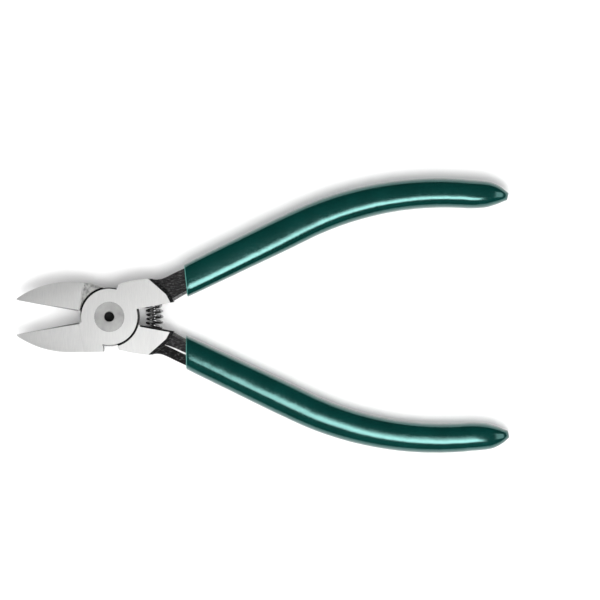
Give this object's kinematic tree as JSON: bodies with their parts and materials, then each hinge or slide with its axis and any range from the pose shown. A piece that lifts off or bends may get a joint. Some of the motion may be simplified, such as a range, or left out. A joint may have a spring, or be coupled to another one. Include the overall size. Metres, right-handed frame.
{
  "type": "flush cut pliers",
  "caption": "Flush cut pliers with a riveted lap joint, a coil return spring and dipped grips, lying open.",
  "frame": {"origin": "where the pivot axis meets the back face that the tool lies on", "axes": "+X from the jaws towards the handles, +Y towards the front lever's handle, +Z along the pivot, out of the flush side"},
  "size_m": [0.1524, 0.085, 0.01],
  "materials": {
    "lever_steel": "flat ground faces on the head, black oxide left on the forged handle roots",
    "rivet_steel": "turned and ground flush",
    "spring_steel": "dark, polished spring wire with bright glints",
    "grip_plastic": "glossy dark green dipped vinyl"
  },
  "bodies": {
    "front_body": {"front_lever": "lever_steel", "pivot_rivet": "rivet_steel", "front_grip": "grip_plastic", "return_spring": "spring_steel"},
    "back_body": {"back_lever": "lever_steel", "back_grip": "grip_plastic"}
  },
  "joints": [
    {"name": "squeeze", "type": "hinge", "parent": "front_body", "child": "back_body", "pos_m": [0, 0, 0.005], "axis": [0, 0, 1], "range_deg": [-27, 20.8], "stiffness_Nm_per_rad": 0.386, "deforming": ["return_spring"]}
  ]
}
